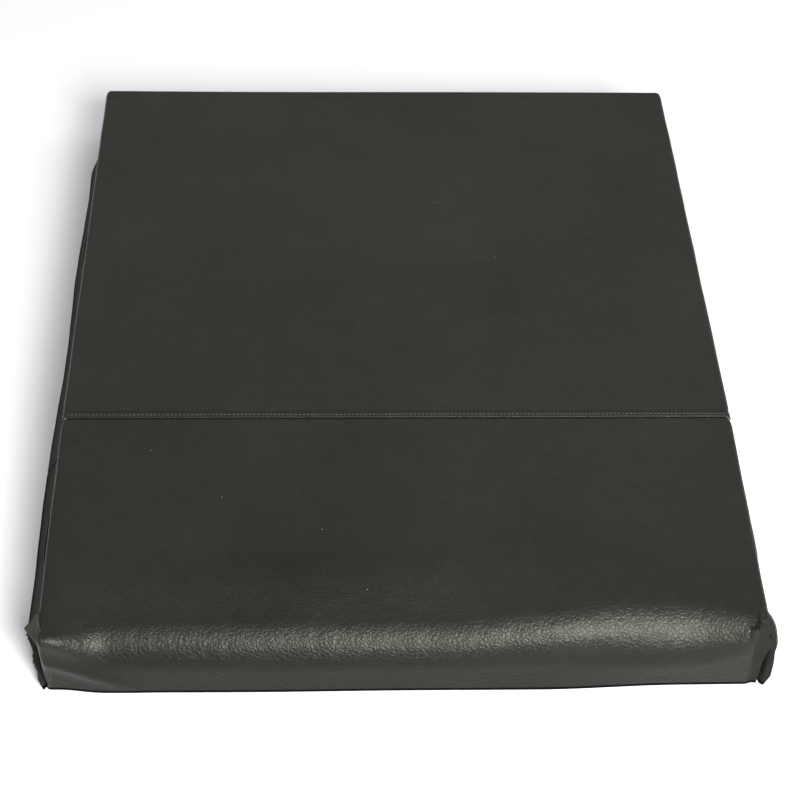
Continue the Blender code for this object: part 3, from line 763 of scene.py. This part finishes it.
def rolled_rim(name, path):
    """A thin rolled edge of vinyl along a path given from the front edge, in a lighter vinyl copy that paints
    a highlight on it.
    """
    sides = 8
    front = panels["front"]
    path = smooth_path([front.world(x, front.length + s, z) for x, s, z in path], 0.004)
    along = tangents(path)
    side = np.cross(along, (0.3, 0.2, 0.93))
    side /= np.linalg.norm(side, axis=1)[:, None]
    up = np.cross(side, along)
    ends = np.minimum(np.arange(len(path)), np.arange(len(path))[::-1]) / 4
    size = RIM_RADIUS * np.clip(ends, 0.25, 1)[:, None]
    angles = np.arange(sides) * 2 * math.pi / sides
    rings = [path + (side * math.cos(a) + up * math.sin(a)) * size for a in angles]
    roll = mesh_object(name, np.stack(rings, axis=1), swept_faces(len(path), sides), VINYL_PAINTED_HIGHLIGHT)
    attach(roll, "front_panel")


def dog_ear():
    """The small turned-out facet at the top of the left corner's fold, in a lighter vinyl copy that paints
    light on it.
    """
    front = panels["front"]
    a, b, c, tip = (np.array(p) for p in DOG_EAR)
    u, v = np.meshgrid(np.linspace(0, 1, 9), np.linspace(0, 1, 9), indexing="ij")
    u, v = u[..., None], v[..., None]
    flat = (1 - u) * ((1 - v) * tip + v * a) + u * ((1 - v) * c + v * b)
    dent = 0.0035 * np.sin(math.pi * u) * np.sin(math.pi * v)
    points = flat + dent * np.array([0.6, -0.4, -0.4])
    world = front.world(points[..., 0], front.length + points[..., 1], points[..., 2])
    facet = thicken(mesh_object("front_left_dog_ear", world, grid_faces(9, 9), VINYL_PAINTED_HIGHLIGHT), 0.0014, 0)
    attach(facet, "front_panel")


def closed_by(quads, size, front, mouth=True):
    """Adds the flat faces, underneath and at the hinge, that close a skin grid."""
    columns, rows = size
    number = np.arange(columns * rows).reshape(columns, rows)
    under = [*number[0, :], *number[1:, -1], *number[-1, -2::-1]]
    loops = [under[::-1] if front else under]
    if mouth:
        loops.append(number[:, 0] if front else number[::-1, 0])
    return [*map(tuple, quads), *(tuple(map(int, loop)) for loop in loops)]


def inner_layers(panel):
    p = panel.name
    points, quads, size = skin_grid(panel, FOAM_INSET, SEAT + 0.0034, CHANNEL_S + 0.0014, 2.2, "inner")
    block = mesh_object(f"{p}_foam_block", points, closed_by(quads, size, panel.front), FOAM)
    on_panel(p, block, "foam", "foam_core")
    points, quads, size = skin_grid(panel, FILM_INSET, SEAT + 0.0017, CHANNEL_S, 2.2, "inner")
    faces = closed_by(quads, size, panel.front, mouth=False)
    sleeve = thicken(mesh_object(f"{p}_vapour_sleeve", points, faces, POLY), FILM)
    on_panel(p, sleeve, "vapour_film", "vapour_barrier")


for panel in panels.values():
    inner_layers(panel)
    outer_skin(panel)
rolled_rim("front_right_rolled_rim", RIGHT_EDGE[:8])
rolled_rim("front_left_rolled_rim", [place for place, _ in LEFT_RIM])
dog_ear()


# ------------------------------------------------------------------ hinge side of each panel
def outward_rays(inner, near, far, sides, turns, across, first):
    """Starts and directions of rays that leave by one side, the far edge and the other side."""
    quarter = np.linspace(first, math.pi / 2, turns)
    rays = [((-inner, v), (-1, 0)) for v in np.linspace(near, far, sides)]
    rays += [((-inner, far), (-math.cos(a), math.sin(a))) for a in quarter]
    rays += [((x, far), (0, 1)) for x in np.linspace(-inner, inner, across)[1:-1]]
    rays += [((inner, far), (math.cos(a), math.sin(a))) for a in quarter[::-1]]
    rays += [((inner, v), (1, 0)) for v in np.linspace(far, near, sides)]
    return rays


def section(panel, s, inset, low):
    """Outline in (x, z) of the panel cut square across at s."""
    fillet = 0.03
    level = float(panel.top(np.zeros(1), np.array([s]))[0])
    rays = outward_rays(HALF - fillet, low, level - fillet, 12, 10, 61, 0.12)
    start = np.array([(x, s, z) for (x, z), _ in rays])
    direction = np.array([(dx, 0.0, dz) for _, (dx, dz) in rays])
    hit = panel.cast(start, direction, inset, "plain")
    return [(float(x), float(z)) for x, _, z in hit]


def upright(panel, s):
    """Stands a plate drawn in (x, z) at s."""
    return Matrix.Translation((0, panel.y(s), 0)) @ Matrix.Rotation(math.pi / 2, 4, "X")


def hinge_side(panel):
    p, body = panel.name, f"{panel.name}_panel"
    facing, seal = (0.0006, 0.0016, 0.0001, 0.0012, 0.0003), (0.00175, 0.0034, 0.0020, 0.0004, 0.0)
    layers = (
        ("hinge_facing_vinyl", "hinge_facing", "black_vinyl", VINYL_TRIM, facing),
        ("film_seal", "barrier_seal", "vapour_film", POLY, seal),
    )
    for name, node, slot, material, (behind, inset, above, thickness, softened) in layers:
        s = FACING_S + behind
        outline = section(panel, s, inset, SEAT + above)
        layer = plate(f"{p}_{name}", [outline], thickness, upright(panel, s), material, softened)
        on_panel(p, layer, slot, node)
    y, across = panel.y(FACING_S - 0.0002), np.linspace(-HALF + 0.02, HALF - 0.02, 60)
    for level, tag in ((SEAT + 0.006, "low"), (RIDGE_Z - 0.012, "high")):
        line = [(x, y, level) for x in across]
        stitches(f"{p}_facing_stitches_{tag}", line, (0, -panel.side, 0), body)
    channel(panel)


def channel(panel):
    """Galvanised channel with rolled bends and eased ends, clear of the skin's rounded edge."""
    p = panel.name
    web, flange, gauge, bend = CHANNEL_S, 0.030, 0.0009, 0.0024
    low = SEAT + CHANNEL_INSET
    high = float(panel.top(np.zeros(1), np.array([web]))[0]) - CHANNEL_INSET
    fall = panel.slope * flange
    angles = np.linspace(0, math.pi / 2, 6)
    outer = [(web + flange, low)]
    outer += [(web + bend - bend * math.sin(a), low + bend - bend * math.cos(a)) for a in angles]
    outer += [(web + bend - bend * math.cos(a), high - bend + bend * math.sin(a)) for a in angles]
    outer += [(web + flange, high - fall)]
    path = np.array(outer)
    step = tangents(path)
    inner = path + stack(step[:, 1], -step[:, 0]) * gauge
    half = HALF - 0.0125
    xs = np.array([-half, -half + 0.0015, *np.linspace(-half + 0.03, half - 0.03, 25), half - 0.0015, half])
    loop = np.vstack([path, inner[::-1]])
    shrink = [0.0 if abs(x) < half - 0.001 else 0.0002 for x in xs]
    points = [(x, panel.y(s + eased), z) for x, eased in zip(xs, shrink) for s, z in loop]
    steel = mesh_object(f"{p}_steel_channel", points, swept_faces(len(xs), len(loop)), STEEL, flat=True)
    bevel(steel, 0.0002, 1)
    on_panel(p, steel, "galvanised_steel", "stiffener_channel")


for panel in panels.values():
    hinge_side(panel)


# ------------------------------------------------------------------ fold: sewn band and gasket
def sewn_band():
    """The band over the fold, a little way down both sides, and its three rows of stitches."""
    at = 0.02
    profile = np.array(section(panels["back"], at, -0.0002, RIDGE_Z - 0.034))
    profile = profile[profile[:, 1] > RIDGE_Z - 0.020]
    profile[:, 1] += at * panels["back"].slope
    half = [(-1, -0.0010), (-0.96, -0.0002), (-0.86, 0.0007)]
    half += [(-0.72, 0.0010), (-0.45, 0.0010), (-0.15, 0.0006)]
    lanes = half + [(-lane, rise) for lane, rise in half[::-1]]
    count = 420
    numbers = np.arange(len(profile))
    dense, height = (np.interp(np.linspace(0, numbers[-1], count), numbers, profile[:, k]) for k in (0, 1))
    slope = tangents(stack(dense, height))
    waver = 0.0007 * hills(dense, dense * 0, 0.30, 31)
    rows = []
    for lane, rise in lanes:
        rise = rise + 0.0003 * hills(dense, dense * 0 + lane, 0.07, 33)
        y = FOLD_Y + lane * BAND_HALF + waver
        rows.append(stack(dense - slope[:, 1] * rise, y, height + slope[:, 0] * rise))
    band = mesh_object("fold_band", np.concatenate(rows), grid_faces(len(lanes), count), VINYL_TRIM)
    thicken(band, 0.0012)
    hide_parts("hinge_strip")
    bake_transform(band)
    flat = height > RIDGE_Z - 0.004
    centre = stack(dense, FOLD_Y + waver, height + 0.0013)[flat]
    for lane, body in ((0.86, "back_panel"), (-0.86, "front_panel")):
        row = centre + np.array([0, lane * BAND_HALF, 0])
        stitches(f"{body}_band_stitches", row, (0, 0, 1), body)
    stitches("fold_stitches", centre, (0, 0, 1), "back_panel", 0.0098, 0.0066, 0.0008, SEAM_THREAD)


sewn_band()


def gasket():
    """Closed-cell strip that fills the gap below the fold, with eased edges and soft sides."""
    low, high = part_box("hinge_gasket")
    half_y, mid_z, half_z = (high.y - low.y) / 2, (high.z + low.z) / 2, (high.z - low.z) / 2
    near_end = spread((0.006, 0.0015), (0.03, 0.006))
    middle = np.linspace(low.x + 0.04, high.x - 0.04, 110)
    xs = np.concatenate([low.x + near_end, middle, (high.x - near_end)[::-1]])
    sides = 40
    around = np.linspace(0, 2 * math.pi, sides, endpoint=False)
    c, s = np.cos(around), np.sin(around)
    square_y = np.sign(c) * np.abs(c) ** 0.30
    square_z = np.sign(s) * np.abs(s) ** 0.18
    points = []
    for x in xs:
        end = 1 - 0.22 * (1 - np.clip(min(x - low.x, high.x - x) / 0.006, 0, 1)) ** 2
        dent = 1 - 0.05 * (1 + hills(np.full(sides, x), around * 0.03, 0.12, 41))
        ring_y = FOLD_Y + half_y * square_y * end * dent
        ring_z = mid_z + half_z * square_z * (1 - 0.3 * (1 - end))
        points.append(stack(x, ring_y, ring_z))
    strip = mesh_object("hinge_gasket_foam", np.concatenate(points), swept_faces(len(xs), sides), SOFT_FOAM)
    stands_for(strip, "back_panel", "gasket_foam", "hinge_gasket")


gasket()


# ------------------------------------------------------------------ underside
def ring_loop(panel, inset):
    """Outline in (x, y) of the panel at the level of the underside."""
    margin = 0.05
    rays = outward_rays(HALF - margin, UNDER_S, panel.length - margin, 60, 16, 80, 0.08)
    start = np.array([(x, s, SEAT + 0.0006) for (x, s), _ in rays])
    direction = np.array([(dx, ds, 0.0) for _, (dx, ds) in rays])
    hit = panel.cast(start, direction, inset, "within")
    return [(float(x), panel.y(float(s))) for x, s, _ in hit]


def near_and_far(low, high):
    """The nearer and the farther s of a box."""
    return sorted(abs(corner.y - FOLD_Y) for corner in (low, high))


def circle(cx, cy, radius, count):
    return [(cx + radius * math.cos(a), cy + radius * math.sin(a))
            for a in np.linspace(0, 2 * math.pi, count, endpoint=False)]


def underside(panel):
    p, body = panel.name, f"{panel.name}_panel"
    rim_low, rim_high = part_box(f"{p}_rim_strip")
    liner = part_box(f"{p}_underside_liner")
    low_s, far = near_and_far(*liner)
    inner_x, far = liner[1].x + 0.0003, far + 0.0003
    eyelets = [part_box(f"{p}_{side}_drain_eyelet") for side in ("left", "right")]
    centres = [((lo + hi) / 2).xy for lo, hi in eyelets]
    y = [panel.y(s) for s in (UNDER_S, far)]
    outer = ring_loop(panel, 0.0016)
    rim = [*outer, (inner_x, y[0]), (inner_x, y[1]), (-inner_x, y[1]), (-inner_x, y[0])]
    holes = [circle(*centre, DRAIN_RADIUS, 32) for centre in centres]
    thick = rim_high.z - rim_low.z
    lay = Matrix.Translation((0, 0, SEAT + thick / 2))
    strip = plate(f"{p}_rim_vinyl", [rim, *holes], thick, lay, VINYL_TRIM, 0.0003)
    on_panel(p, strip, "black_vinyl", "rim_strip")

    columns, rows = 121, max(31, int((far - UNDER_S) / 0.013))
    gx, gs = np.meshgrid(np.linspace(-inner_x + 0.0006, inner_x - 0.0006, columns),
                         np.linspace(low_s, far - 0.0006, rows), indexing="ij")
    edge = np.minimum.reduce([inner_x - np.abs(gx), gs - low_s, far - gs])
    slack = smooth(0.0, 0.08, edge)
    z = SEAT + 0.0005 - slack * (0.0016 + 0.0014 * hills(gx, gs, 0.22, 51))
    faces = grid_faces(columns, rows, panel.front)
    cloth = mesh_object(f"{p}_liner_cloth", panel.world(gx, gs, z), faces, LINER)
    thicken(cloth, 0.0007, 0)
    on_panel(p, cloth, "liner_cloth", "underside_liner")

    for side, centre in zip(("left", "right"), centres):
        turned_eyelet(p, side, *centre)
    zip_fastener(panel)
    x, y_far = inner_x + 0.004, y[1] + panel.side * 0.004
    corners = [(-x, y[0]), (-x, y_far), (x, y_far), (x, y[0])]
    for k, (a, b) in enumerate(zip(corners, corners[1:])):
        line = np.linspace((*a, SEAT - 0.0002), (*b, SEAT - 0.0002), 50)
        stitches(f"{p}_rim_stitches_{k}", line, (0, 0, -1), body)


def turned_eyelet(p, side, cx, cy):
    """Rolled brass eyelet: a lip under the vinyl that curls up into its barrel."""
    profile = [(0.0085, -0.0002), (0.0086, -0.0005), (0.0082, -0.0009), (0.0074, -0.0012), (0.0064, -0.0012),
               (0.0054, -0.0009), (0.0045, -0.0003), (0.0042, 0.0004), (0.0042, 0.0012), (0.0048, 0.0013),
               (0.0050, 0.0010), (0.0050, -0.0001), (0.0060, -0.0001)]
    steps = 48
    points = [(x, y, SEAT + z) for r, z in profile for x, y in circle(cx, cy, r, steps)]
    faces = swept_faces(len(profile) + 1, steps, capped=False)
    faces = np.array(faces) % len(points)
    ring = mesh_object(f"{p}_{side}_eyelet", points, faces, BRASS)
    on_panel(p, ring, "brass", f"{side}_drain_eyelet")


def zip_fastener(panel):
    """Two woven tapes, the moulded teeth between them, and the line of stitches in each tape."""
    p, body = panel.name, f"{panel.name}_panel"
    for tape in ("inner", "outer"):
        low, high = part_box(f"{p}_zip_tape_{tape}")
        gx, gy = np.meshgrid(np.linspace(low.x, high.x, 240), np.linspace(low.y, high.y, 5), indexing="ij")
        z = low.z + 0.0004 + 0.00022 * hills(gx, gy, 0.05, 61)
        cloth = mesh_object(f"{p}_tape_{tape}", stack(gx, gy, z), grid_faces(240, 5), WEB["flat"])
        thicken(cloth, 0.0006, 0)
        on_panel(p, cloth, "webbing", f"zip_tape_{tape}")
        y, z = (low.y + high.y) / 2, low.z - 0.0001
        row = np.linspace((low.x, y, z), (high.x, y, z), 60)
        stitches(f"{p}_tape_{tape}_stitches", row, (0, 0, -1), body, pitch=0.004, length=0.0028)
    low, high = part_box(f"{p}_zip_chain")
    pitch = 0.0026
    count = int((high.x - low.x) / pitch)
    x = low.x + pitch * (np.arange(count) + 0.5)
    mid_y, half = (low.y + high.y) / 2, (high.y - low.y) / 2
    points, faces = [], []
    shape = [(-0.5, 0.0), (-0.5, 0.62), (-0.30, 1.0), (0.30, 1.0), (0.5, 0.62), (0.5, 0.0)]
    for k, cx in enumerate(x):
        hand = 1 if k % 2 else -1
        faces += [tuple(len(points) + m for m in face) for face in swept_faces(3, len(shape))]
        for across, depth in ((-0.30, 0.8), (0.25, 1.0), (0.95, 0.75)):
            y, drop = mid_y + hand * half * across, (high.z - low.z) * (0.75 + 0.25 * depth)
            points += [(cx + u * pitch * 1.05 * depth, y, high.z - drop * v) for u, v in shape]
    chain = mesh_object(f"{p}_zip_teeth", points, faces, TEETH, flat=True)
    on_panel(p, chain, "moulded_plastic", "zip_chain")
    for node in ("zip_slider", "zip_pull"):
        keep(f"{p}_{node}", ZINC, 0.00025)


def keep(node, material, width):
    """Dresses a hard CAD piece: its own material and softened edges."""
    obj = frame["nodes"][node]
    obj.data.materials.clear()
    obj.data.materials.append(material)
    bevel(obj, width)


# ------------------------------------------------------------------ handles, straps and side seams
def handle_patch(panel, side, sign):
    """Vinyl patch laid on the side wall, stitched down along its four edges."""
    p = panel.name
    low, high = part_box(f"{p}_{side}_handle_patch")
    s0, s1 = near_and_far(low, high)
    rows, columns = 60, 13
    gs, gz = np.meshgrid(np.linspace(s0, s1, rows), np.linspace(low.z, high.z, columns), indexing="ij")
    rim = np.minimum.reduce([gs - s0, s1 - gs, gz - low.z, high.z - gz])
    proud = 0.0013 + 0.0006 * smooth(0.002, 0.008, rim) + 0.0002 * hills(gs, gz, 0.04, 71)
    points = panel.flank(gs, gz, sign)
    points[:, 0] += sign * proud.ravel()
    faces = grid_faces(rows, columns, sign == panel.side)
    patch = thicken(mesh_object(f"{p}_{side}_patch", points, faces, VINYL_TRIM), 0.0011)
    on_panel(p, patch, "black_vinyl", f"{side}_handle_patch")
    inset = 0.004
    near, far, bottom, top = s0 + inset, s1 - inset, low.z + inset, high.z - inset
    corners = [(near, bottom), (far, bottom), (far, top), (near, top), (near, bottom)]
    for k, (a, b) in enumerate(zip(corners, corners[1:])):
        line = panel.flank(np.linspace(a[0], b[0], 30), np.linspace(a[1], b[1], 30), sign, 0.0018)
        name = f"{p}_{side}_patch_stitches_{k}"
        stitches(name, line, (sign, 0, 0), f"{p}_panel", 0.0045, 0.0032)
    return (low.z + high.z) / 2


def handle_webbing(panel, side, sign, middle_z):
    """Webbing that lies on the patch at both ends, stitched in a crossed box, and bows out between."""
    p = panel.name
    low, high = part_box(f"{p}_{side}_handle")
    s0, s1 = near_and_far(low, high)
    thickness, width = 0.0018, high.z - low.z
    outer = max(abs(low.x), abs(high.x)) - thickness / 2
    base = min(abs(low.x), abs(high.x)) + thickness / 2 + 0.0008
    half = [(0, base), (0.018, base), (0.035, base), (0.047, (base + outer) / 2), (0.062, outer - 0.0004)]
    marks = [(s0 + d, x) for d, x in half] + [((s0 + s1) / 2, outer + 0.0006)]
    marks += [(s1 - d, x) for d, x in half[::-1]]
    path = smooth_path([(sign * x, panel.y(s), middle_z) for s, x in marks], 0.004)
    strap = ribbon(f"{p}_{side}_handle_webbing", path, (0, 0, 1), width, thickness, WEB["handle"])
    on_panel(p, strap, "webbing", f"{side}_handle")
    x = sign * (base + thickness * 0.48)
    for end, (a, b) in enumerate(((s0 + 0.004, s0 + 0.030), (s1 - 0.030, s1 - 0.004))):
        box = [(a, -1), (b, -1), (b, 1), (a, 1), (a, -1), (b, 1), (b, -1), (a, 1)]
        for k, (m, n) in enumerate(zip(box, box[1:])):
            run = [np.linspace(start, stop, 12) for start, stop in zip(m, n)]
            line = [(x, panel.y(s), middle_z + v * width * 0.36) for s, v in zip(*run)]
            name = f"{p}_{side}_handle_box_{end}_{k}"
            stitches(name, line, (sign, 0, 0), f"{p}_panel", 0.0032, 0.0024)


def straps(panel):
    p = panel.name
    for side in ("left", "right"):
        low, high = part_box(f"{p}_{side}_strap")
        x, y = (low.x + high.x) / 2, (low.y + high.y) / 2
        width = high.x - low.x
        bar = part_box(f"{p}_{side}_buckle")[1].z - 0.0015
        eye, thickness = 0.0043, 0.0014
        marks = [(-0.0007, high.z - 0.0012), (-0.0008, high.z - 0.012), (-0.0006, bar + 0.030)]
        marks += [(0.0016, bar + 0.017), (eye * 0.97, bar + 0.006)]
        marks += [(eye * math.cos(a), bar + eye * math.sin(a)) for a in np.linspace(0, -math.pi, 9)]
        marks += [(-eye * 0.97, bar + 0.006), (-0.0030, bar + 0.015), (-0.0023, bar + 0.022)]
        path = smooth_path([(x, y + panel.side * a, z) for a, z in marks], 0.002)
        strap = ribbon(f"{p}_{side}_strap_webbing", path, (1, 0, 0), width, thickness, WEB["strap"])
        stands_for(strap, f"{p}_{side}_strap", "webbing", f"{p}_{side}_strap")
        keep(f"{p}_{side}_buckle", PLASTIC, 0.0005)


def seam_rows(panel, side, sign):
    """Stitches over a side's seam and along its hem."""
    s = np.linspace(0.012, panel.length - 0.06, 160)
    for tag, level in (("seam", SEAT + 0.005), ("hem", 0.011)):
        line = panel.flank(s, level, sign, 0.0001)
        name = f"{panel.name}_{side}_{tag}_stitches"
        stitches(name, line, (sign, 0, 0), f"{panel.name}_panel")


for panel in panels.values():
    underside(panel)
    for side, sign in HANDS:
        handle_webbing(panel, side, sign, handle_patch(panel, side, sign))
    straps(panel)
    for side, sign in HANDS:
        seam_rows(panel, side, sign)


# ------------------------------------------------------------------ camera, floor and lights
camera = link("camera", bpy.data.cameras.new("camera"))
camera.location = (-0.1775, -3.4012, 3.4372)
camera.data.lens, camera.data.sensor_width = 84.002, 36
yaw, pitch, roll = (math.radians(v) for v in (3.3421, 45.9788, -2.2861))
ahead = Vector((math.sin(yaw) * math.cos(pitch), math.cos(yaw) * math.cos(pitch), -math.sin(pitch)))
level = Vector((math.cos(yaw), -math.sin(yaw), 0))
down = ahead.cross(level)
right = math.cos(roll) * level + math.sin(roll) * down
up = math.sin(roll) * level - math.cos(roll) * down
camera.rotation_euler = Matrix((right, up, -ahead)).transposed().to_euler("XYZ")
bpy.context.scene.camera = camera

paper = Nodes("studio_floor").finish((0.80, 0.80, 0.82), 0.9)
corners = [(-30, -30, 0), (30, -30, 0), (30, 30, 0), (-30, 30, 0)]
floor = mesh_object("floor", corners, [(0, 1, 2, 3)], paper)
floor.location.z = cad_low.z - 0.0005
floor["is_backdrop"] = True


def area_light(name, place, aim, size, power, colour=(1, 1, 1)):
    data = bpy.data.lights.new(name, "AREA")
    data.shape, data.energy, data.color = "RECTANGLE", power, colour
    data.size, data.size_y = size
    lamp = link(name, data)
    lamp.location = place
    lamp.rotation_euler = (Vector(aim) - Vector(place)).to_track_quat("-Z", "Y").to_euler()


area_light("key_softbox", (2.0, -5.3, 4.3), (0.3, -0.9, 0.15), (3.0, 3.2), 880, (1.0, 0.985, 0.975))
area_light("back_wall", (0, 5.0, 5.3), (0, 0, 0.2), (6, 3), 31)
area_light("fill_front", (-3.0, -6.5, 7.0), (0, 0, 0), (4, 4), 92)
area_light("fill_right", (7.5, 1.5, 5.5), (0, 0, 0), (4, 4), 130)
world = bpy.context.scene.world or bpy.data.worlds.new("world")
bpy.context.scene.world = world
world.use_nodes = True
sky = world.node_tree.nodes["Background"].inputs
sky["Color"].default_value = (1, 1, 1, 1)
sky["Strength"].default_value = 0.52
bpy.context.scene.view_settings.view_transform = "Standard"

# ------------------------------------------------------------------ sizes of the CAD frame and of the visual pieces
boxes = {"cad": (cad_low, cad_high), "visual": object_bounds()}
{k: [list(v) for v in pair] for k, pair in boxes.items()}
